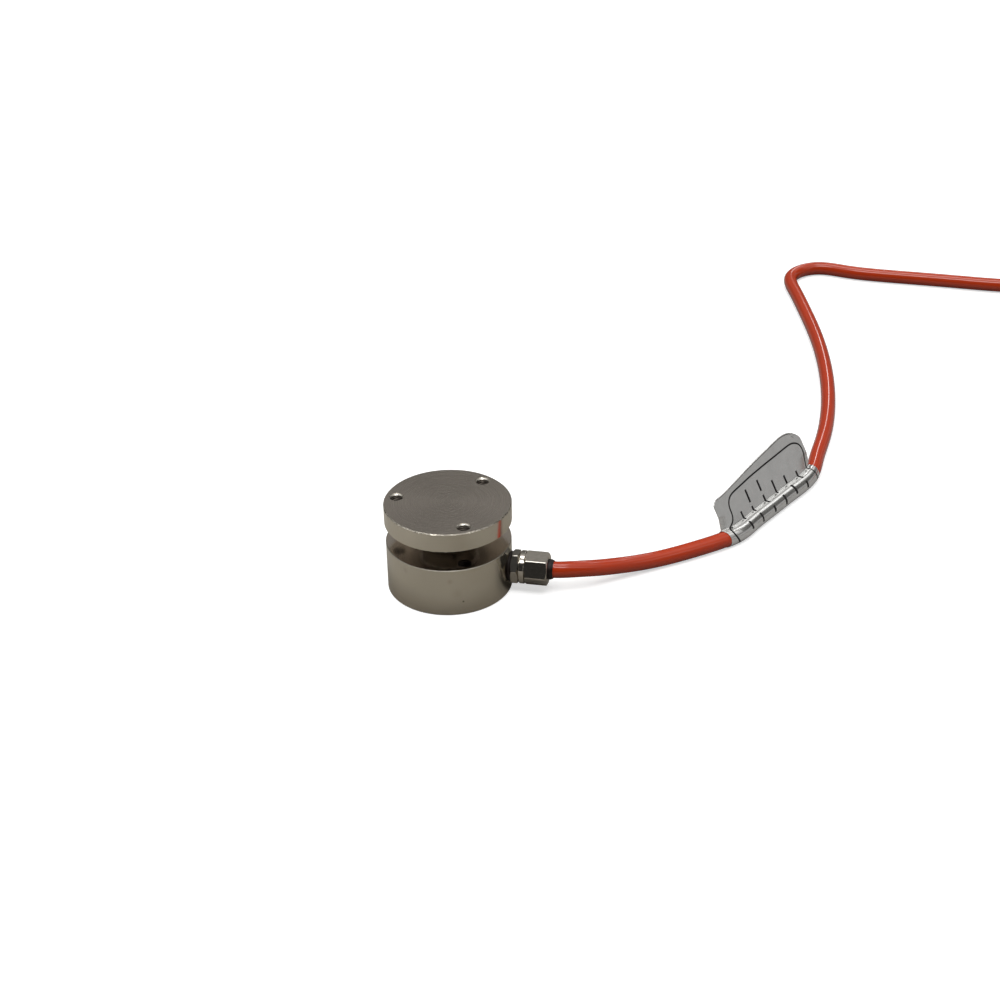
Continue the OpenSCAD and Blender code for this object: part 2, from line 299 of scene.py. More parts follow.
def steel_material():
    """Turned stainless steel: smooth on the sides, rings on the flat faces, worn edges, with painted shade on the top,
    the edges and the groove and painted light on the ledge.
    """
    g = Nodes("turned_steel")
    obj = g.here()
    geo = g.add("ShaderNodeNewGeometry")
    nz = g.add("ShaderNodeSeparateXYZ")
    g.link(geo.outputs["True Normal"], nz.inputs[0])
    up = g.math("ABSOLUTE", nz.outputs["Z"])
    flat = g.span(up, 0.90, 0.98)
    edge = g.math("MULTIPLY", g.span(up, 0.25, 0.5), g.span(up, 0.90, 0.80))
    xyz = g.add("ShaderNodeSeparateXYZ")
    g.link(obj, xyz.inputs[0])
    plane = g.add("ShaderNodeCombineXYZ")
    g.link(xyz.outputs["X"], plane.inputs[0])
    g.link(xyz.outputs["Y"], plane.inputs[1])
    radius = g.vmath("LENGTH", plane.outputs[0])
    # the tool's feed on flat faces and on the sides
    feed = g.add("ShaderNodeCombineXYZ")
    g.link(radius, feed.inputs[0])
    rings = g.noise(feed.outputs[0], 6500.0, 2.0, 0.6)
    wide = g.noise(feed.outputs[0], 700.0, 2.0, 0.5)
    turns = g.add("ShaderNodeCombineXYZ")
    g.link(xyz.outputs["Z"], turns.inputs[0])
    lines = g.noise(turns.outputs[0], 7000.0, 2.0, 0.6)
    cloud = g.noise(obj, 70.0, 4.0, 0.6)
    grime = g.noise(obj, 420.0, 5.0, 0.65)
    nicks = g.noise(obj, 620.0, 3.0, 0.7)
    # mask for the painted shade in the groove between the lower body and the disc
    inside = g.math("MULTIPLY", g.span(radius, 0.0125, 0.0085),
                    g.math("MULTIPLY", g.span(xyz.outputs["Z"], 0.0153, 0.0156), g.span(xyz.outputs["Z"], 0.0222, 0.0219)))
    low_edge = g.math("MULTIPLY", edge, g.span(xyz.outputs["Z"], 0.0215, 0.0200))
    # roughness
    ledge = g.math("MULTIPLY", flat, g.span(xyz.outputs["Z"], 0.0200, 0.0190))
    top_rough = g.math("SUBTRACT", g.span(rings, 0.3, 0.7, 0.24, 0.33), g.math("MULTIPLY", ledge, 0.13))
    side_rough = g.span(cloud, 0.35, 0.65, 0.12, 0.18)
    r = g.add("ShaderNodeMix", data_type="FLOAT")
    g.link(flat, r.inputs[0])
    g.link(side_rough, r.inputs[2])
    g.link(top_rough, r.inputs[3])
    r2 = g.add("ShaderNodeMix", data_type="FLOAT")
    g.link(edge, r2.inputs[0])
    g.link(r.outputs[0], r2.inputs[2])
    g.link(g.span(nicks, 0.44, 0.56, 0.16, 0.60), r2.inputs[3])
    r3 = g.add("ShaderNodeMix", data_type="FLOAT")
    g.link(low_edge, r3.inputs[0])
    g.link(r2.outputs[0], r3.inputs[2])
    r3.inputs[3].default_value = 0.42
    g.link(r3.outputs[0], g.p.inputs["Roughness"])
    # colour: a warm side, a darker top as painted shade, faint clouds and two small stains; the ledge, edges and groove
    # carry painted light and shade
    side = g.mix(g.span(cloud, 0.3, 0.7), STEEL_SIDE, tuple(c * 1.08 for c in STEEL_SIDE))
    # the flat faces take a darker colour than the sides: painted shade
    top = g.mix(g.span(wide, 0.3, 0.7), STEEL_TOP_PAINTED_SHADE, tuple(c * 1.06 for c in STEEL_TOP_PAINTED_SHADE))
    colour = g.mix(flat, side, top)
    # the ledge is painted a lighter colour: painted light in the groove
    colour = g.mix(ledge, colour, (0.675, 0.61, 0.54))
    # the chamfered edges are painted darker to dim their glints: painted shade; the nicks are real wear
    colour = g.mix(g.math("MULTIPLY", edge, 0.55), colour, (0.26, 0.24, 0.20))
    # the groove near the neck is painted nearly black: painted shade
    colour = g.mix(g.math("MULTIPLY", inside, 0.85), colour, (0.085, 0.075, 0.065))
    # the lower ring's top edge is painted darker to dim its glint: painted shade
    colour = g.mix(g.math("MULTIPLY", low_edge, 0.6), colour, (0.22, 0.205, 0.175))
    spot = g.vmath("DISTANCE", obj, (0.00785, -0.01703, 0.0046))
    rim = g.math("ADD", spot, g.math("MULTIPLY", grime, 0.0004))
    colour = g.mix(g.span(rim, 0.00028, 0.00062, 0.8, 0.0), colour, (0.03, 0.02, 0.012))
    for place, size, strength, tint in (((0.0043, -0.01825, 0.0118), 0.0010, 0.16, (0.12, 0.06, 0.03)),
                                        ((-0.0095, -0.0162, 0.0131), 0.0013, 0.16, (0.10, 0.08, 0.06)),
                                        ((0.0062, -0.0177, 0.0075), 0.0021, 0.10, (0.10, 0.08, 0.06))):
        smear = g.math("ADD", g.vmath("DISTANCE", obj, place), g.math("MULTIPLY", grime, size * 0.6))
        colour = g.mix(g.span(smear, size * 0.4, size * 1.3, strength, 0.0), colour, tint)
    g.link(colour, g.p.inputs["Base Color"])
    h = g.add("ShaderNodeMix", data_type="FLOAT")
    g.link(flat, h.inputs[0])
    g.link(lines, h.inputs[2])
    g.link(rings, h.inputs[3])
    b = g.bump(h.outputs[0], 0.05, 0.00002)
    b = g.bump(g.noise(obj, 160.0, 2.0), 0.012, 0.0005, b)
    b = g.bump(g.math("MULTIPLY", nicks, edge), 0.55, 0.00030, b)
    g.link(b, g.p.inputs["Normal"])
    tangent = g.add("ShaderNodeTangent", direction_type="RADIAL", axis="Z")
    g.link(tangent.outputs[0], g.p.inputs["Tangent"])
    g.set(Metallic=1.0, Anisotropic=0.40)
    return g.mat


STEEL_SIDE = (0.560, 0.525, 0.455)
# darker than the side's colour: painted shade on the top face
STEEL_TOP_PAINTED_SHADE = (0.425, 0.385, 0.345)


def plated_material(name, colour, rough=0.12, scale=500.0):
    g = Nodes(name)
    obj = g.here()
    cloud = g.noise(obj, scale, 4.0, 0.6)
    g.link(g.mix(g.span(cloud, 0.3, 0.7), colour, tuple(c * 0.85 for c in colour)), g.p.inputs["Base Color"])
    g.link(g.span(g.noise(obj, scale * 2.3, 3.0), 0.3, 0.7, rough * 0.8, rough * 1.5), g.p.inputs["Roughness"])
    g.link(g.bump(g.noise(obj, scale * 6, 2.0), 0.05, 0.00005), g.p.inputs["Normal"])
    g.set(Metallic=1.0)
    return g.mat


def soft_material(name, colour, rough=0.55, scale=900.0, dust=0.0, sheen=0.0, shine=0.5):
    """Rubber, nylon and other dull plastics."""
    g = Nodes(name)
    obj = g.here()
    n = g.noise(obj, scale, 4.0, 0.6)
    pale = tuple(c + (0.10 + c * 0.15) * (0.3 + dust) for c in colour)
    g.link(g.mix(g.span(n, 0.35, 0.75), colour, pale), g.p.inputs["Base Color"])
    g.link(g.span(n, 0.3, 0.7, rough * 0.85, rough * 1.1), g.p.inputs["Roughness"])
    g.link(g.bump(g.noise(obj, scale * 4, 3.0), 0.12, 0.00006), g.p.inputs["Normal"])
    g.set(Sheen_Weight=sheen, Specular_IOR_Level=shine)
    return g.mat


def jacket_material():
    """Glossy orange polyurethane with faint lengthwise draw lines."""
    g = Nodes("orange_jacket")
    uv = g.uv()
    obj = g.here()
    stretch = g.add("ShaderNodeMapping")
    g.link(uv, stretch.inputs["Vector"])
    stretch.inputs["Scale"].default_value = (14.0, 0.04, 1.0)
    draw = g.noise(stretch.outputs[0], 1.0, 3.0, 0.6)
    cloud = g.noise(obj, 60.0, 3.0, 0.6)
    fine = g.noise(obj, 500.0, 3.0, 0.6)
    base = g.mix(g.span(cloud, 0.3, 0.7), ORANGE, tuple(c * 0.88 for c in ORANGE))
    base = g.mix(g.span(draw, 0.45, 0.8, 0.0, 0.10), base, (0.56, 0.075, 0.018))
    g.link(base, g.p.inputs["Base Color"])
    # two places rubbed smooth, each about as long as the cable is thick
    shiny = g.math("MAXIMUM", g.span(g.vmath("DISTANCE", obj, (0.0998, 0.1720, 0.0048)), 0.0022, 0.0040, 1.0, 0.0),
                   g.span(g.vmath("DISTANCE", obj, (0.1056, 0.1270, 0.0049)), 0.0022, 0.0040, 1.0, 0.0))
    rough = g.math("MULTIPLY", g.span(fine, 0.3, 0.7, 0.075, 0.12), g.span(shiny, 0.0, 1.0, 1.0, 0.05))
    g.link(rough, g.p.inputs["Roughness"])
    b = g.bump(draw, 0.03, 0.0001)
    g.link(b, g.p.inputs["Normal"])
    g.set(IOR=1.5, Specular_IOR_Level=0.5)
    return g.mat


ORANGE = (0.40, 0.034, 0.007)


def foil_material():
    g = Nodes("silver_foil")
    obj = g.here()
    uv = g.uv()
    n = g.noise(obj, 260.0, 4.0, 0.55)
    f = g.noise(obj, 2600.0, 3.0, 0.6)
    g.link(g.mix(g.span(n, 0.3, 0.7), (0.76, 0.76, 0.75), (0.82, 0.82, 0.81)), g.p.inputs["Base Color"])
    g.link(g.span(f, 0.3, 0.7, 0.19, 0.25), g.p.inputs["Roughness"])
    b = g.bump(g.noise(obj, 120.0, 2.0, 0.5), 0.03, 0.0008)
    b = g.bump(f, 0.02, 0.00004, b)
    g.link(b, g.p.inputs["Normal"])
    g.set(Metallic=1.0)
    return g.mat


def ink_material():
    g = Nodes("black_ink")
    n = g.noise(g.here(), 1500.0, 3.0, 0.6)
    g.link(g.mix(g.span(n, 0.35, 0.75), (0.004, 0.004, 0.004), (0.012, 0.012, 0.012)), g.p.inputs["Base Color"])
    g.link(g.span(n, 0.3, 0.7, 0.45, 0.58), g.p.inputs["Roughness"])
    g.set(Specular_IOR_Level=0.25)
    return g.mat


def strand_material():
    """Tinned copper strands twisted together."""
    g = Nodes("tinned_strands")
    uv = g.uv()
    w = g.add("ShaderNodeTexWave", wave_type="BANDS", bands_direction="DIAGONAL")
    mp = g.add("ShaderNodeMapping")
    g.link(uv, mp.inputs["Vector"])
    mp.inputs["Scale"].default_value = (7.0, 1.6, 1.0)
    g.link(mp.outputs[0], w.inputs["Vector"])
    w.inputs["Scale"].default_value = 1.0
    w.inputs["Distortion"].default_value = 0.6
    n = g.noise(g.here(), 1200.0, 3.0)
    g.link(g.mix(w.outputs["Fac"], (0.30, 0.29, 0.27), (0.62, 0.61, 0.58)), g.p.inputs["Base Color"])
    g.link(g.span(n, 0.3, 0.7, 0.22, 0.38), g.p.inputs["Roughness"])
    g.link(g.bump(w.outputs["Fac"], 0.5, 0.0001), g.p.inputs["Normal"])
    g.set(Metallic=1.0)
    return g.mat


def board_material():
    g = Nodes("green_board")
    obj = g.here()
    weave = g.add("ShaderNodeTexBrick")
    g.link(g.vmath("MULTIPLY", obj, (1.0, 1.0, 1.0)), weave.inputs["Vector"])
    weave.inputs["Scale"].default_value = 900.0
    weave.inputs["Color1"].default_value = (0.02, 0.16, 0.06, 1)
    weave.inputs["Color2"].default_value = (0.025, 0.20, 0.075, 1)
    weave.inputs["Mortar"].default_value = (0.015, 0.12, 0.05, 1)
    g.link(weave.outputs["Color"], g.p.inputs["Base Color"])
    g.link(g.span(g.noise(obj, 800.0), 0.3, 0.7, 0.3, 0.45), g.p.inputs["Roughness"])
    return g.mat


def gauge_material():
    """Amber film with the fine folded grid of a strain gauge."""
    g = Nodes("gauge_film")
    obj = g.here()
    w = g.add("ShaderNodeTexWave", wave_type="RINGS", rings_direction="Z")
    g.link(obj, w.inputs["Vector"])
    w.inputs["Scale"].default_value = 1500.0
    g.link(g.mix(w.outputs["Fac"], (0.45, 0.20, 0.05), (0.62, 0.50, 0.34)), g.p.inputs["Base Color"])
    g.link(g.span(g.noise(obj, 900.0), 0.3, 0.7, 0.25, 0.4), g.p.inputs["Roughness"])
    return g.mat


steel = steel_material()
gland_metal = plated_material("nickel_plate", (0.58, 0.55, 0.50), 0.08)
rubber = soft_material("black_rubber", (0.006, 0.002, 0.0015), 0.50, 900.0, -0.22, shine=0.3)
nylon_black = soft_material("black_nylon", (0.014, 0.014, 0.015), 0.38, 500.0)
shrink = soft_material("heat_shrink", (0.016, 0.016, 0.017), 0.48, 700.0)
nylon_pale = soft_material("pale_nylon", (0.62, 0.58, 0.48), 0.45, 700.0)
potting = soft_material("potting_compound", (0.03, 0.03, 0.035), 0.35, 400.0)
ceramic = soft_material("chip_ceramic", (0.03, 0.03, 0.035), 0.3, 1500.0)
enamel = plated_material("enamelled_copper", (0.62, 0.26, 0.11), 0.22, 1500.0)
jacket = jacket_material()
foil = foil_material()
ink = ink_material()
strands = strand_material()
board = board_material()
gauge = gauge_material()
core_mats = {
    "red": soft_material("core_red_skin", (0.42, 0.012, 0.010), 0.36, 600.0),
    "black": soft_material("core_black_skin", (0.010, 0.010, 0.010), 0.36, 600.0),
    "green": soft_material("core_green_skin", (0.010, 0.16, 0.035), 0.36, 600.0),
    "white": soft_material("core_white_skin", (0.66, 0.66, 0.63), 0.36, 600.0),
}

for name, mat in {
    "elastic_body": steel, "bottom_cover": plated_material("cover_steel", (0.36, 0.34, 0.31), 0.24, 300.0),
    "cover_sealant": potting, "terminal_board": board,
    "strain_gauge_1": gauge, "strain_gauge_2": gauge, "strain_gauge_3": gauge, "strain_gauge_4": gauge,
    "zero_resistor": ceramic, "span_resistor": ceramic, "temperature_resistor": ceramic,
    "gauge_lead_wires": enamel, "gland_o_ring": rubber, "gland_slip_washer": nylon_pale,
    "gland_seal": rubber, "inner_sleeve": shrink, "gland_body": gland_metal, "gland_nut": gland_metal,
    "core_red_inner_end": core_mats["red"], "core_black_inner_end": core_mats["black"],
    "core_green_inner_end": core_mats["green"], "core_white_inner_end": core_mats["white"],
    "shield_wire_inner_end": strands,
}.items():
    for s in nodes[name].material_slots:
        s.material = mat


# ------------------------------------------------------------------ the cable
CABLE_R = 2.5
route = [
    (31.5, 0, 7.5), (35, 0.7, 7.4), (39, 2.6, 6.9), (43.5, 5.5, 5.9), (49, 9.8, 4.5),
    (55, 14.3, 3.4), (61, 18.7, 2.8), (67.5, 23.4, 2.7), (74, 28.5, 2.7), (79, 32.8, 2.7),
    (82.6, 36.7, 2.7), (87.2, 45.7, 2.7), (91.8, 54.7, 2.7), (96.4, 63.7, 2.7),
    (101, 72.7, 2.7), (102.9, 78.5, 2.7), (103.8, 88.4, 2.6), (105, 102, 2.5), (105.6, 119, 2.5),
    (104.8, 136.5, 2.5), (102.9, 153.5, 2.5), (99.8, 171.5, 2.5), (95.6, 189.5, 2.5),
    (90.8, 207, 2.5), (87.6, 218, 2.5), (85.3, 226, 2.5), (84.9, 231.4, 2.5),
    (86.9, 236.4, 2.5), (90.7, 240.1, 2.5), (95.8, 241.9, 2.5), (101.1, 241.4, 2.5),
    (106.5, 240.1, 2.5), (112, 239.2, 2.5), (119.5, 238.6, 2.5), (131, 238.1, 2.5),
    (145, 237.5, 2.5), (160, 236.5, 2.6), (175, 236.2, 2.8), (190, 236.5, 3), (205, 236.7, 3.1)]
tail = [
    (253.9, 194, 18), (254.2, 186, 16.8), (254.5, 178, 13.6), (254.6, 170, 9.4), (254.6, 162, 5.6),
    (254.6, 154, 3.5), (254.6, 146, 3), (254.6, 134, 3), (254.6, 122, 3)]

COIL = (220.0, 203.0)
RADII = (33.7, 28.7, 23.7, 18.7)
TURN = 5.0
LOW = 3.1


def ease(t):
    return 0.5 - 0.5 * math.cos(PI * min(max(t, 0.0), 1.0))


def winding():
    """Places round the coil: four layers of four turns, laid in and out by turns."""
    events, a = [], 295.0
    for layer in range(4):
        seq = RADII if layer % 2 == 0 else RADII[::-1]
        for k in range(3):
            events.append((a, "r", seq[k], seq[k + 1]))
            a += 360.0
        if layer < 3:
            events.append((a - 65.0, "z", LOW + TURN * layer, LOW + TURN * (layer + 1)))
            a += 360.0 - 130.0
    total = 14.25 * 360.0
    out = []
    count = int(total / 7.5)
    for i in range(count + 1):
        phi = total * i / count
        r, z = RADII[0], LOW
        for at, what, was, to in events:
            if phi >= at:
                x = was + (to - was) * ease((phi - at) / 65.0)
                if what == "r":
                    r = x
                else:
                    z = x
        g = math.radians(90.0 - phi)
        out.append((COIL[0] + r * math.cos(g), COIL[1] + r * math.sin(g), z))
    return out


free = smooth_curve(route + winding() + tail, 1.35, start=(1, 0, 0), end=(0, -1, 0))
inside = [(x, 0, 7.5) for x in np.arange(10.0, 31.4, 1.5)]
centre = np.concatenate([inside, free])
v, f, uv = tube_mesh(centre, CABLE_R, 24)
cable = make("signal_cable", v, f, [jacket], uvs=uv)
fix_normals(cable)
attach(cable, "root")
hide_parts("cable", "cable_coil", "cable_tail")


# ---- ties round the coil
def coil_tie(name, node, angle):
    """A nylon strap round the coil's section, with its head on the outside."""
    w, t, pitch = 4.8, 0.55, 0.9
    inner, outer, low, high = RADII[3] - CABLE_R - 0.02, RADII[0] + CABLE_R + 0.02, 0.58, LOW + 3 * TURN + CABLE_R + 0.02
    rc = 1.6
    path = []
    for cx, cy, a0 in ((outer - rc, low + rc, -90), (outer - rc, high - rc, 0), (inner + rc, high - rc, 90), (inner + rc, low + rc, 180)):
        for k in range(7):
            a = math.radians(a0 + 15 * k)
            path.append((cx, cy, math.cos(a), math.sin(a), rc))
    pts = [(cx + r * c, cy + r * s, c, s) for cx, cy, c, s, r in path]
    # more places on the straights
    dense = []
    for i, (x, y, c, s) in enumerate(pts):
        x2, y2, c2, s2 = pts[(i + 1) % len(pts)]
        k = max(1, int(math.hypot(x2 - x, y2 - y) / 0.45))
        for j in range(k):
            u = j / k
            dense.append((x + (x2 - x) * u, y + (y2 - y) * u, c + (c2 - c) * u, s + (s2 - s) * u))
    v, f = [], []
    rim = [(-w / 2, 0.0), (-w / 2 + 0.25, t), (w / 2 - 0.25, t), (w / 2, 0.0)]
    n = len(rim)
    for i, (x, y, c, s) in enumerate(dense):
        l = math.hypot(c, s)
        c, s = c / l, s / l
        ridge = 0.08 if i % 2 else 0.0
        for side, up in rim:
            up = up - (ridge if up > 0 else 0.0)
            v.append((x + c * up, side, y + s * up))
    for i in range(len(dense)):
        i2 = (i + 1) % len(dense)
        for k in range(n):
            k2 = (k + 1) % n
            f.append((i * n + k, i * n + k2, i2 * n + k2, i2 * n + k))
    # the head, a small rounded block on the outer side with the cut end
    def block(x0, x1, y0, y1, z0, z1):
        b = len(v)
        e = 0.5
        for z, q in ((z0, e), (z0 + e, 0), (z1 - e, 0), (z1, e)):
            for xx, yy in ((x0, y0 + q), (x1 - e, y0 + q), (x1 - q * 0.6, y0 + e + q), (x1 - q * 0.6, y1 - e - q), (x1 - e, y1 - q), (x0, y1 - q)):
                v.append((xx, yy, z))
        for r in range(3):
            for k in range(6):
                k2 = (k + 1) % 6
                f.append((b + r * 6 + k, b + r * 6 + k2, b + (r + 1) * 6 + k2, b + (r + 1) * 6 + k))
        f.append(tuple(b + k for k in range(5, -1, -1)))
        f.append(tuple(b + 18 + k for k in range(6)))
    block(outer + t - 0.1, outer + t + 2.9, -3.3, 3.3, 6.2, 11.4)
    block(outer + t + 0.9, outer + t + 1.5, -2.2, 2.2, 11.2, 14.4)
    a = math.radians(angle)
    ca, sa = math.cos(a), math.sin(a)
    v = [(COIL[0] + x * ca - y * sa, COIL[1] + x * sa + y * ca, max(z, 0.02)) for x, y, z in v]
    o = make(name, v, f, [nylon_black], smooth=False)
    fix_normals(o)
    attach(o, "root")
    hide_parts(node)
    return o


tie_a = coil_tie("cable_tie_a", "coil_tie_a", 135)
tie_b = coil_tie("cable_tie_b", "coil_tie_b", 315)

# ---- far end: sleeve and stripped cores
END = (254.6, 122.0, 3.0)
prof = [(-1.5, 1.9), (-1.5, 2.5), (-1.35, 2.72), (-1.0, 2.82)]
prof += [(k * 0.75, 2.86 + 0.03 * math.sin(k * 1.7)) for k in range(0, 11)]
prof += [(8.5, 2.82), (8.9, 2.70), (9.0, 2.55), (9.0, 2.5), (0.3, 2.5), (0.1, 1.9)]
sleeve = lathe("tail_end_sleeve", [(y, r) for y, r in prof], (0, 0, 0), "x", 64, [shrink])
for vert in sleeve.data.vertices:
    x, y, z = vert.co / MM
    vert.co = Vector((END[0] + y, END[1] + x, END[2] + z)) * MM
fix_normals(sleeve)
sharpen(sleeve, 50)
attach(sleeve, "root")
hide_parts("tail_sleeve")

for colour, x, z, bend, r in (("red", -0.7, 0.7, -9, 0.55), ("black", 0.7, 0.7, 4, 0.55), ("green", -0.7, -0.7, -4, 0.55),
                              ("white", 0.7, -0.7, 9, 0.55), ("shield", 0, 0, 0, 0.35)):
    pts = [(x, 0, 3.0 + z), (x, -4, 2.8 + z), (x + 0.4 * bend, -10, (3.4 + z) / 2), (x + bend, -17, 0.65),
           (x + 1.6 * bend, -25, 0.65), (x + 2 * bend, -34, 0.65)]
    line = smooth_curve([(END[0] + a, END[1] + b, c) for a, b, c in pts], 0.35)
    if colour == "shield":
        phase = np.arange(len(line)) * 0.35
        v, f, uv = tube_mesh(line, 0.33 + 0.02 * np.sin(phase * 4), 16)
        o = make("shield_drain_wire", v, f, [strands], uvs=uv)
        slot_name, node = "tinned_copper", "shield_wire_far_end"
    else:
        n = len(line)
        cut = int(n * 0.80)
        rad = [0.55] * cut + [0.50, 0.36] + [0.28 + 0.015 * math.sin(k * 1.3) for k in range(n - cut - 2)]
        v, f, uv = tube_mesh(line, rad, 16)
        kinds = [0 if (i // 16) < cut else 1 for i in range(len(f))]
        kinds[-2], kinds[-1] = 0, 1
        o = make("core_" + colour + "_lead", v, f, [core_mats[colour], strands], uvs=uv, face_mats=kinds)
        slot_name, node = "core_" + colour, "core_" + colour + "_far_end"
    fix_normals(o)
    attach(o, "root")
    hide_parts(node)


# ------------------------------------------------------------------ the foil label
LABEL_AT = np.array((82.0, 35.5, 2.7))
LABEL_DIR = np.array((4.6, 9.0, 0.0)) / math.hypot(4.6, 9.0)
LABEL_LEFT = np.array((-LABEL_DIR[1], LABEL_DIR[0], 0.0))
LEAN = math.radians(60)
OUT = LABEL_LEFT * math.cos(LEAN) + np.array((0, 0, math.sin(LEAN)))
FACE = -LABEL_LEFT * math.sin(LEAN) + np.array((0, 0, math.cos(LEAN)))
S0, S1 = -3.4, 48.4    # the label's two ends along the cable
WRAP_R = 2.69          # middle of the foil round the cable
CREASE = 2.89          # where the two sides meet, from the cable's axis
FLAT = 3.15            # where the flag is flat
FOIL_T = 0.10


def section():
    """Half of the foil's section, from the flag's flat start round the cable, as (out, across)."""
    beta = math.acos(WRAP_R / CREASE)
    tx, ty = WRAP_R * math.cos(beta), WRAP_R * math.sin(beta)
    p0, p1 = np.array((FLAT, 0.0)), np.array((CREASE, 0.0))
    p2 = p1 + (np.array((tx, ty)) - p1) * 0.55
    pts = [(1 - u) ** 2 * p0 + 2 * u * (1 - u) * p1 + u * u * p2 for u in np.linspace(0, 1, 9)]
    pts += [p2 + (np.array((tx, ty)) - p2) * u for u in (0.33, 0.66)]
    pts += [np.array((WRAP_R * math.cos(a), WRAP_R * math.sin(a))) for a in np.linspace(beta, PI, 26)]
    return np.array(pts)


HALF = section()
HALF_LEN = np.concatenate([[0], np.cumsum(np.linalg.norm(np.diff(HALF, axis=0), axis=1))])
TOP_EDGE = smooth_curve([(-3.4, 10.6, 0), (-3.25, 11.7, 0), (-2.65, 12.5, 0), (-1.6, 13.0, 0), (0.6, 13.2, 0), (5.4, 13.6, 0),
                         (20, 15.5, 0), (33.8, 16.95, 0), (39.5, 17.35, 0), (42, 17.05, 0), (44.5, 16.15, 0), (46.5, 14.95, 0),
                         (47.7, 13.8, 0), (48.25, 12.8, 0), (48.4, 12.0, 0)], 0.4)


def flag_top(s):
    return float(np.interp(s, TOP_EDGE[:, 0], TOP_EDGE[:, 1]))


NEAR = centre[(centre[:, 0] > 60) & (centre[:, 0] < 112) & (centre[:, 1] > 15) & (centre[:, 1] < 110)]
NEAR_S = (NEAR - LABEL_AT).dot(LABEL_DIR)


def cable_line_at(s):
    """The cable's own centre at this place along the label."""
    i = min(max(int(np.searchsorted(NEAR_S, s)), 1), len(NEAR) - 1)
    u = (s - NEAR_S[i - 1]) / (NEAR_S[i] - NEAR_S[i - 1])
    return NEAR[i - 1] * (1 - u) + NEAR[i] * u


def on_label(s, q, side, lift=0.0):
    """A place on the foil. q runs out along the flag from its flat start, or under 0 round the cable.
    side is 1 on the face that looks to the front and right, -1 on the other."""
    straight = LABEL_AT + LABEL_DIR * s
    if q >= 0:
        o, across = FLAT + q, FOIL_T * 0.5 + lift
        rise = o / 12.0
        bend = 0.07 * rise**1.6 * math.sin(s * 0.15 + 0.6) + 0.02 * rise * math.sin(s * 0.62 + o * 0.5)
        near = math.exp(-((s - 44.6) ** 2 + (o - 15.9) ** 2) / 0.9)
        bend += 0.34 * near * math.sin((s + o) * 2.6)
        bend *= min(q / 3.0, 1.0)
        shift = bend
        out = o
        across *= side
    else:
        i = int(np.searchsorted(HALF_LEN, -q)) if -q < HALF_LEN[-1] else len(HALF) - 1
        i = min(max(i, 1), len(HALF) - 1)
        t = (-q - HALF_LEN[i - 1]) / (HALF_LEN[i] - HALF_LEN[i - 1])
        p = HALF[i - 1] * (1 - t) + HALF[i] * t
        d = HALF[i] - HALF[i - 1]
        d = d / np.linalg.norm(d)
        p = p + np.array((d[1], -d[0])) * lift
        shift = 0.0
        out = p[0]
        across = side * (p[1] + FOIL_T * 0.5 * max(0.0, 1 + q / 0.9))
    k = min(max((out - 2.6) / 5.0, 0.0), 1.0)
    base = cable_line_at(s) * (1 - k) + straight * k
    return base + OUT * out + FACE * (across + shift)


def label_grid():
    s_list = sorted(set([S0, S0 + 0.03, S0 + 0.08, S1 - 0.08, S1 - 0.03] + list(np.linspace(S0 + 0.15, 1.6, 20)) + list(np.linspace(1.6, 40, 60)) + list(np.linspace(40, S1, 34))))
    j_out = 20
    wrap = [-x for x in HALF_LEN[1:]]
    rows = []
    for s in s_list:
        top = flag_top(s) - FLAT
        row = [(1, top * (1 - j / j_out)) for j in range(j_out + 1)]
        row += [(1, q) for q in wrap]
        row += [(-1, q) for q in wrap[-2::-1]]
        row += [(-1, top * (j / j_out)) for j in range(j_out + 1)]
        rows.append((s, row))
    v, f, uv = [], [], []
    n = len(rows[0][1])
    for s, row in rows:
        run = 0.0
        for k, (side, q) in enumerate(row):
            v.append(on_label(s, q, side))
            uv.append((s, q if side > 0 else 40 - q))
    for i in range(len(rows) - 1):
        for k in range(n - 1):
            f.append((i * n + k, i * n + k + 1, (i + 1) * n + k + 1, (i + 1) * n + k))
    return v, f, uv


v, f, uv = label_grid()
label = make("foil_label", v, f, [foil, ink], uvs=uv)
solid = label.modifiers.new("thickness", "SOLIDIFY")
solid.thickness = FOIL_T * 0.9 * MM
solid.offset = 0.0
solid.use_even_offset = False
bpy.context.view_layer.objects.active = label
label.select_set(True)
bpy.ops.object.modifier_apply(modifier="thickness")
label.select_set(False)
fix_normals(label)


def ink_strip(line, width):
    """A thin printed line through places (s, q) on the front face."""
    v, f = [], []
    line = np.array(line, float)
    d = np.gradient(line, axis=0)
    for i, (s, q) in enumerate(line):
        t = d[i] / np.linalg.norm(d[i])
        for w in (-width / 2, width / 2):
            a, b = s - t[1] * w, q + t[0] * w
            v.append(on_label(a, b, 1, FOIL_T * 0.5 + 0.006))
    for i in range(len(line) - 1):
        f.append((2 * i, 2 * i + 1, 2 * i + 3, 2 * i + 2))
    return v, f


def on_foil(q):
    """Where a print mark sits, from the flag's flat start: out on the flag, or round the cable."""
    return q * 1.1 if q < 0 else q - 0.3 * min(q / 2.0, 1.0)


def border():
    pts = [(0.5, -7.4), (-0.8, -5.2), (-1.5, -3.6), (-1.5, -2.4), (-1.0, -1.2), (0.4, 0.0), (2.0, 1.4), (3.0, 3.6), (3.2, 5.8),
           (3.8, 7.1), (4.9, 8.1), (6.5, 8.7), (8.8, 9.0), (18, 9.65), (31, 10.1), (39.5, 10.35), (42.6, 10.25), (44.9, 9.5),
           (46.4, 8.2), (46.9, 6.6), (46.7, 4.8), (46.3, 3.1), (46.0, 1.6), (45.8, 0.2), (45.8, -1.4), (45.9, -3.0), (46.2, -5.0), (46.7, -7.2)]
    c = smooth_curve([(a, on_foil(b), 0) for a, b in pts], 0.25)
    return [(a, b) for a, b, _ in c]


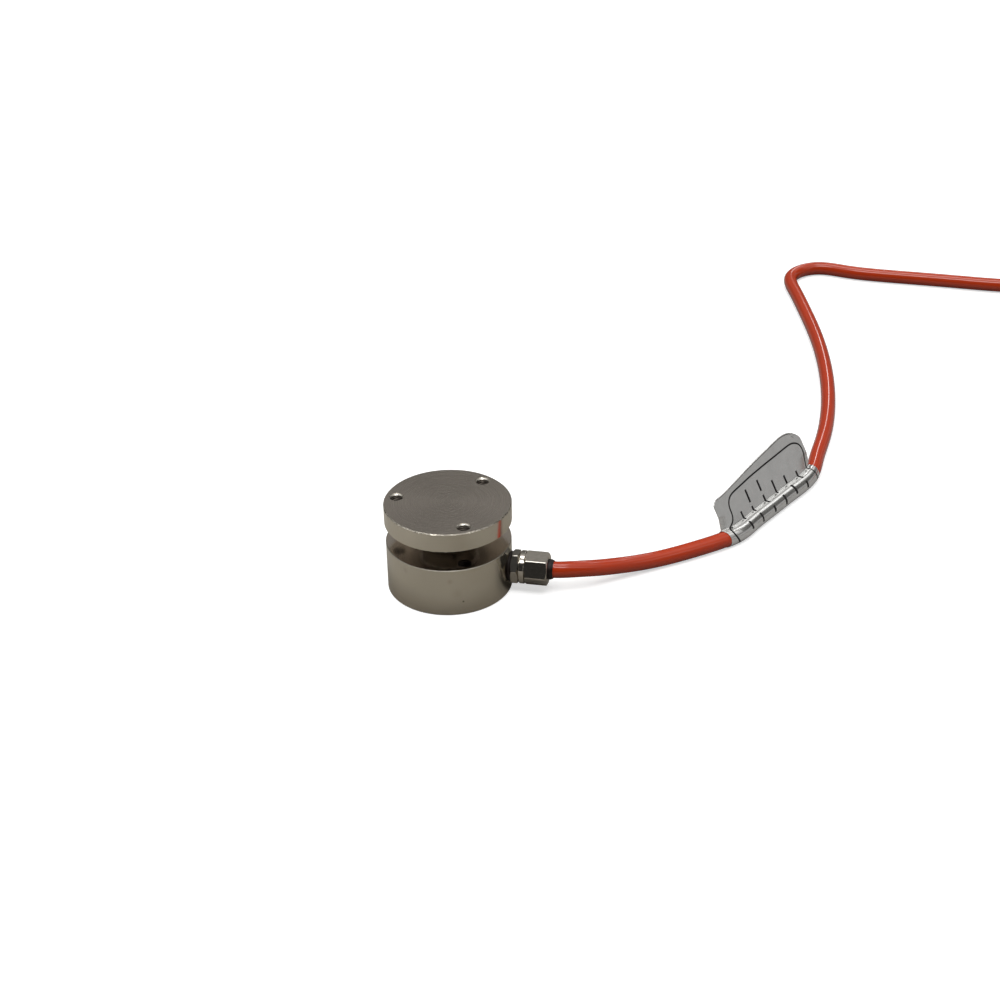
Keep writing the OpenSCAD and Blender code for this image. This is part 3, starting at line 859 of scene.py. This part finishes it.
bars = [
    (6.6, (-4.8, -2.2), 0.9), (7.2, (-1.0, 2.4), 0.8),
    (13.0, (-5.4, -2.4), 0.8), (13.2, (-1.2, 1.4), 0.85), (13.2, (2.8, 7.2), 0.85),
    (20.0, (-5.2, -3.2), 0.95), (20.2, (-1.6, 2.2), 0.85), (20.2, (3.6, 7.4), 0.85),
    (26.6, (-5.6, -2.4), 0.95), (26.8, (-0.8, 4.4), 0.85),
    (33.0, (-4.8, -1.4), 0.95), (33.2, (0.0, 3.2), 0.85),
    (39.4, (-5.4, -3.2), 0.95), (39.6, (-2.0, 2.0), 0.85)]
v, f = ink_strip(border(), 0.56)
for s, (a, b), w in bars:
    v2, f2 = ink_strip([(s, on_foil(q)) for q in np.linspace(a, b, max(3, int((b - a) / 0.3)))], w)
    f += [tuple(i + len(v) for i in g) for g in f2]
    v += v2
print_mesh = make("label_print", v, f, [ink])
thin = print_mesh.modifiers.new("thickness", "SOLIDIFY")
thin.thickness = 0.01 * MM
thin.offset = 0.0
bpy.context.view_layer.objects.active = print_mesh
print_mesh.select_set(True)
bpy.ops.object.modifier_apply(modifier="thickness")
print_mesh.select_set(False)
fix_normals(print_mesh)
for o in (label, print_mesh):
    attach(o, "root")
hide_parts("cable_label")


# ------------------------------------------------------------------ the gland
def rounded_hex(a, flat, turn, corner=0.45):
    """Radius of a hexagon with rounded corners at angle a."""
    t = (a - turn) % (PI / 3)
    t = min(t, PI / 3 - t)                       # from the nearest corner
    apothem = flat / 2
    r = apothem / math.cos(PI / 6 - t)
    # round the corner: keep inside a circle round its own centre
    c = (apothem - corner) / math.cos(PI / 6)
    limit = c * math.cos(t) + math.sqrt(max(corner**2 - (c * math.sin(t)) ** 2, 0)) if c * math.sin(t) < corner * 0.5 else r
    return min(r, limit)


def hex_angles(turn):
    """Angles close together at the corners and a few across each flat."""
    out = []
    for k in range(6):
        for d in (-3.4, -2.9, -2.4, -1.9, -1.4, -0.9, -0.45, 0, 0.45, 0.9, 1.4, 1.9, 2.4, 2.9, 3.4, 6, 10, 15, 20, 25, 30, 35, 40, 45, 50, 54):
            out.append((turn + math.radians(60 * k + d)) % (2 * PI))
    return sorted(out)


def hex_piece(name, profile, turn, mats):
    """profile: list of (x, r, kind). kind 'hex' takes the hexagon's radius, 'cone' is where a 30 degree chamfer meets it."""
    ang = hex_angles(turn)
    v, f = [], []
    n = len(profile)
    for a in ang:
        R = rounded_hex(a, 9.0, turn)
        for x, r, kind in profile:
            if kind == "hex":
                rr, xx = R, x
            elif kind == "cone":                # r is the face radius, x the face
                rr, xx = R, x - max(R - r, 0) / 1.732
            elif kind == "backcone":
                rr, xx = R, x + max(R - r, 0) / 1.732
            else:
                rr, xx = r, x
            v.append((xx, rr * math.cos(a), 7.5 + rr * math.sin(a)))
    m = len(ang)
    for k in range(m):
        k2 = (k + 1) % m
        for i in range(n):
            j = (i + 1) % n
            f.append((k * n + i, k * n + j, k2 * n + j, k2 * n + i))
    o = make(name, v, f, mats)
    fix_normals(o)
    sharpen(o, 24)
    return o


def screw_rings(x0, x1, crest, root, pitch):
    out, x = [], x0
    while x + pitch <= x1:
        out += [(x, crest, ""), (x + pitch * 0.12, crest, ""), (x + pitch * 0.5, root, ""), (x + pitch * 0.62, root, "")]
        x += pitch
    return out + [(x1, crest, "")]


# Angle of one corner from +Y towards +Z.
TURN_BODY = math.radians(19 - 90)
TURN_NUT = math.radians(38 - 90)
body_profile = [
    (12.0, 2.6, ""), (12.0, 3.3, ""), (12.15, 3.45, ""), (19.15, 3.45, ""), (19.15, 4.30, ""), (19.20, 4.38, ""),
    (19.20, 4.42, "backcone"), (21.55, 4.42, "cone"), (21.6, 4.34, ""), (21.6, 3.95, "")]
body_profile += screw_rings(21.7, 28.3, 3.95, 3.62, 0.75)
body_profile += [(28.4, 3.9, ""), (28.4, 3.6, ""), (25.5, 2.9, ""), (25.5, 2.6, "")]
gland_body = hex_piece("gland_body_hex", body_profile, TURN_BODY, [gland_metal])
nut_profile = [
    (21.8, 4.0, ""), (21.8, 4.80, ""), (21.84, 4.90, ""), (21.93, 4.98, ""), (22.05, 5.0, ""), (23.10, 5.0, ""), (23.22, 4.97, ""), (23.30, 4.90, ""), (23.35, 4.78, ""),
    (23.35, 4.50, ""), (23.36, 4.40, "backcone"), (30.20, 4.44, "cone"), (30.22, 4.42, ""), (30.25, 4.34, ""),
    (30.25, 3.22, ""), (30.20, 3.12, ""), (30.10, 3.1, ""), (29.25, 3.1, ""), (29.25, 4.0, "")]
gland_nut = hex_piece("gland_cap_nut", nut_profile, TURN_NUT, [gland_metal])
for o, node in ((gland_body, "gland_body"), (gland_nut, "gland_nut")):
    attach(o, "root")
    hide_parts(node)


# ------------------------------------------------------------------ threads in the six holes
def threads(name, low, high, top_mouth, bottom_mouth, mats):
    """Metric thread sleeves of 0.7 pitch, closed meshes that line the three bored holes."""
    v, f, kinds = [], [], []
    seg, pitch, crest, root, skin = 48, 0.7, 1.65, 1.975, 1.996
    step = pitch / 8
    count = int(round((high - low) / step))
    for h in range(3):
        a0 = PI + h * 2 * PI / 3
        cx, cy = 15.5 * math.cos(a0), 15.5 * math.sin(a0)
        base = len(v)
        for i in range(count + 1):
            z = low + (high - low) * i / count
            for k in range(seg):
                a = 2 * PI * k / seg
                t = (z / pitch + k / seg) % 1.0
                wave = abs(2 * t - 1)
                wave = min(max((wave - 0.12) / 0.76, 0), 1)
                r = crest + (root - crest) * wave
                if top_mouth is not None and z > top_mouth - 0.35:
                    r = crest + (z - (top_mouth - 0.35))
                if bottom_mouth is not None and z < bottom_mouth + 0.35:
                    r = crest + ((bottom_mouth + 0.35) - z)
                r = min(r, skin - 0.004)
                v.append((cx + r * math.cos(a), cy + r * math.sin(a), z))
        outer = len(v)
        for z in (low, high):
            for k in range(seg):
                a = 2 * PI * k / seg
                v.append((cx + skin * math.cos(a), cy + skin * math.sin(a), z))
        for i in range(count):
            z = low + (high - low) * (i + 0.5) / count
            bright = (top_mouth is not None and z > top_mouth - 0.35) or (bottom_mouth is not None and z < bottom_mouth + 0.35)
            for k in range(seg):
                k2 = (k + 1) % seg
                f.append((base + i * seg + k, base + (i + 1) * seg + k, base + (i + 1) * seg + k2, base + i * seg + k2))
                kinds.append(0 if bright else 1)
        last = base + count * seg
        for k in range(seg):
            k2 = (k + 1) % seg
            f.append((outer + k, outer + k2, outer + seg + k2, outer + seg + k))
            f.append((base + k, base + k2, outer + k2, outer + k))
            f.append((last + k, outer + seg + k, outer + seg + k2, last + k2))
            kinds += [1, 1, 1]
    o = make(name, v, f, mats, face_mats=kinds)
    fix_normals(o)
    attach(o, "root")
    return o


mouth_metal = plated_material("hole_mouth_steel", (0.58, 0.55, 0.50), 0.14, 700.0)
# the threads are painted dark steel: painted shade inside the holes
thread_painted_shade = plated_material("thread_steel", (0.11, 0.095, 0.08), 0.32, 700.0)
threads("hole_threads_top", 22.25, 27.8, 27.8, None, [mouth_metal, thread_painted_shade])
# the base holes' threads are painted nearly black: painted shade deep in the holes
deep_painted_shade = plated_material("deep_thread_steel", (0.035, 0.03, 0.025), 0.5, 700.0)
threads("hole_threads_base", 0.2, 15.2, None, 0.2, [mouth_metal, deep_painted_shade])


# ------------------------------------------------------------------ the studio
def stage_box(name, verts, faces, mat, camera_sees=True):
    me = bpy.data.meshes.new(name)
    me.from_pydata(verts, [], faces)
    me.materials.append(mat)
    o = bpy.data.objects.new(name, me)
    scene.collection.objects.link(o)
    o.visible_camera = camera_sees
    return o


S = 4.0
g = Nodes("pale_floor")
n = g.noise(g.here(), 3.0, 3.0, 0.5)
g.link(g.mix(g.span(n, 0.3, 0.7), (0.62, 0.62, 0.62), (0.64, 0.64, 0.64)), g.p.inputs["Base Color"])
g.set(Roughness=0.9, Specular_IOR_Level=0.0, Emission_Color=(1.0, 1.0, 1.0, 1.0), Emission_Strength=0.57)
floor = stage_box("floor", [(-S, -S, 0), (S, -S, 0), (S, S, 0), (-S, S, 0)], [(0, 1, 2, 3)], g.mat)
floor.visible_diffuse = False
floor.visible_glossy = False
floor.visible_shadow = False

# A grey floor seen only by reflections and bounced light; near the object it has a painted shadow, to the left a
# painted brighter patch and to the right painted shade.
g = Nodes("grey_floor")
where = g.here()
n = g.noise(where, 3.0, 3.0, 0.5)
pale = g.mix(g.span(n, 0.3, 0.7), (0.272, 0.258, 0.229), (0.286, 0.272, 0.243))
away = g.vmath("LENGTH", where)
# painted shadow round the object
pale = g.mix(g.span(away, 0.019, 0.030, 0.42, 0.0), pale, (0.10, 0.085, 0.07))
sep = g.add("ShaderNodeSeparateXYZ")
g.link(where, sep.inputs[0])
# painted light to the left of the object
pale = g.mix(g.span(sep.outputs["X"], -0.045, -0.015, 0.30, 0.0), pale, (0.45, 0.43, 0.40))
# painted shade in a strip to the right of the object
pale = g.mix(g.math("MULTIPLY", g.span(sep.outputs["X"], -0.012, 0.03, 0.0, 0.42), g.span(sep.outputs["X"], 0.05, 0.035)), pale, (0.20, 0.183, 0.155))
pale = g.mix(g.span(sep.outputs["X"], 0.06, 0.09, 0.0, 1.0), pale, (0.275, 0.27, 0.262))
g.link(pale, g.p.inputs["Base Color"])
g.set(Roughness=0.9, Specular_IOR_Level=0.0)
bounce = stage_box("floor_bounce", [(-S, -S, -0.00005), (S, -S, -0.00005), (S, S, -0.00005), (-S, S, -0.00005)], [(0, 1, 2, 3)], g.mat, False)

# The room: dark in front of the object, where the camera stands, brighter above and to the right.
world = bpy.data.worlds.new("studio")
scene.world = world
world.use_nodes = True
wt = world.node_tree
wt.nodes.clear()


def wn(kind, **facts):
    n = wt.nodes.new(kind)
    for k, v in facts.items():
        setattr(n, k, v)
    return n


def wmath(op, a, b):
    n = wn("ShaderNodeMath", operation=op)
    for i, x in enumerate((a, b)):
        if isinstance(x, (int, float)):
            n.inputs[i].default_value = x
        else:
            wt.links.new(x, n.inputs[i])
    return n.outputs[0]


def wstep(x, lo, hi):
    n = wn("ShaderNodeMapRange", interpolation_type="SMOOTHSTEP")
    wt.links.new(x, n.inputs["Value"])
    n.inputs["From Min"].default_value = lo
    n.inputs["From Max"].default_value = hi
    return n.outputs[0]


def toward(x, y):
    n = wn("ShaderNodeVectorMath", operation="DOT_PRODUCT")
    wt.links.new(wc.outputs["Generated"], n.inputs[0])
    n.inputs[1].default_value = (x, y, 0)
    return n.outputs["Value"]


wo = wn("ShaderNodeOutputWorld")
wb = wn("ShaderNodeBackground")
wc = wn("ShaderNodeTexCoord")
ws = wn("ShaderNodeSeparateXYZ")
wt.links.new(wc.outputs["Generated"], ws.inputs[0])
z = ws.outputs["Z"]
ramp_node = wn("ShaderNodeValToRGB")
wt.links.new(z, ramp_node.inputs[0])
ramp = ramp_node.color_ramp
ramp.elements[0].position, ramp.elements[0].color = 0.0, (0.12, 0.115, 0.105, 1)
ramp.elements[1].position, ramp.elements[1].color = 1.0, (0.75, 0.74, 0.72, 1)
for at, c in ((0.12, 0.13), (0.30, 0.17), (0.52, 0.26), (0.62, 0.27), (0.74, 0.38), (0.86, 0.62)):
    e = ramp.elements.new(at)
    e.color = (c, c * 0.975, c * 0.93, 1)
wy, wx = ws.outputs["Y"], ws.outputs["X"]


def band(v, a, b, c, d):
    return wmath("MULTIPLY", wstep(v, a, b), wmath("SUBTRACT", 1.0, wstep(v, c, d)))


def spot(x, y, zz, inner, outer):
    n = wn("ShaderNodeVectorMath", operation="DOT_PRODUCT")
    wt.links.new(wc.outputs["Generated"], n.inputs[0])
    n.inputs[1].default_value = tuple(Vector((x, y, zz)).normalized())
    return wstep(n.outputs["Value"], math.cos(math.radians(outer)), math.cos(math.radians(inner)))


# two long lamps overhead, one in front of the object and one just behind it
turn = wmath("ARCTAN2", z, wmath("MULTIPLY", wy, -1.0))
off = wmath("ABSOLUTE", wmath("ADD", wx, -0.05), 0)
core = wmath("SUBTRACT", 1.0, wstep(off, 0.26, 0.38))
wing = wmath("SUBTRACT", 1.0, wstep(wmath("ABSOLUTE", wx, 0), 0.80, 0.93))
near = wmath("SUBTRACT", 1.0, wstep(wmath("ABSOLUTE", wmath("ADD", wx, 0.13), 0), 0.25, 0.40))
lamp_a = wmath("MULTIPLY", band(turn, math.radians(57.5), math.radians(60), math.radians(73), math.radians(75.5)),
               wmath("ADD", wmath("MULTIPLY", core, 4.2), wmath("MULTIPLY", wing, 1.1)))
lamp_b = wmath("MULTIPLY", band(turn, math.radians(92), math.radians(94.5), math.radians(109), math.radians(112)),
               wmath("ADD", wmath("MULTIPLY", near, 3.6), wmath("MULTIPLY", wing, 0.5)))
# smaller lights to the right, the left and far behind
window = wmath("MULTIPLY", spot(0.30, 0.69, 0.66, 6, 14), 0.85)
left = wmath("MULTIPLY", wstep(toward(-0.98, -0.20), 0.50, 0.72), wmath("MULTIPLY", wstep(z, 0.40, 0.52), wmath("SUBTRACT", 1.0, wstep(z, 0.72, 0.82))))
haze = wmath("MULTIPLY", wstep(toward(0.95, 0.31), 0.60, 0.80), band(z, 0.0, 0.08, 0.18, 0.30))
bulbs = wmath("ADD", wmath("MULTIPLY", spot(0.0, 0.891, 0.454, 1.8, 3.6), 6.5),
              wmath("ADD", wmath("MULTIPLY", spot(0.355, 0.567, 0.743, 1.2, 2.6), 4.5), wmath("MULTIPLY", spot(0.595, 0.230, 0.770, 1.2, 2.6), 1.4)))
add = wmath("ADD", wmath("ADD", wmath("ADD", lamp_a, lamp_b), wmath("ADD", window, wmath("MULTIPLY", left, 0.45))), wmath("ADD", wmath("MULTIPLY", haze, 0.31), bulbs))
shade = spot(0.74, 0.46, 0.49, 8, 26)
front = wmath("MULTIPLY", wstep(toward(-0.2, -0.98), 0.15, 0.45), wmath("SUBTRACT", 1.0, wstep(z, 0.78, 0.86)))
keep = wmath("MULTIPLY", wmath("SUBTRACT", 1.0, wmath("MULTIPLY", front, wmath("ADD", 0.73, wmath("MULTIPLY", wstep(z, 0.25, 0.42), 0.13)))), wmath("SUBTRACT", 1.0, wmath("MULTIPLY", shade, 0.55)))
mixer = wn("ShaderNodeVectorMath", operation="SCALE")
wt.links.new(ramp_node.outputs[0], mixer.inputs[0])
wt.links.new(keep, mixer.inputs["Scale"])
adder = wn("ShaderNodeCombineXYZ")
for k in range(3):
    wt.links.new(add, adder.inputs[k])
total = wn("ShaderNodeVectorMath", operation="ADD")
wt.links.new(mixer.outputs[0], total.inputs[0])
wt.links.new(adder.outputs[0], total.inputs[1])
wt.links.new(total.outputs[0], wb.inputs[0])
wt.links.new(wb.outputs[0], wo.inputs[0])
wb.inputs[1].default_value = 1.0


def softbox(name, place, aim, size, power, colour=(1, 1, 1)):
    d = bpy.data.lights.new(name, "AREA")
    d.shape = "RECTANGLE"
    d.size, d.size_y = size
    d.energy = power
    d.color = colour
    o = bpy.data.objects.new(name, d)
    scene.collection.objects.link(o)
    o.location = place
    o.rotation_euler = (Vector(aim) - Vector(place)).to_track_quat("-Z", "Y").to_euler()
    return o


key = softbox("key", (0.16, -0.56, 1.42), (0.03, 0.05, 0.0), (1.30, 0.58), 8.0)
key.visible_glossy = False

scene.view_settings.view_transform = "Standard"
scene.view_settings.look = "None"
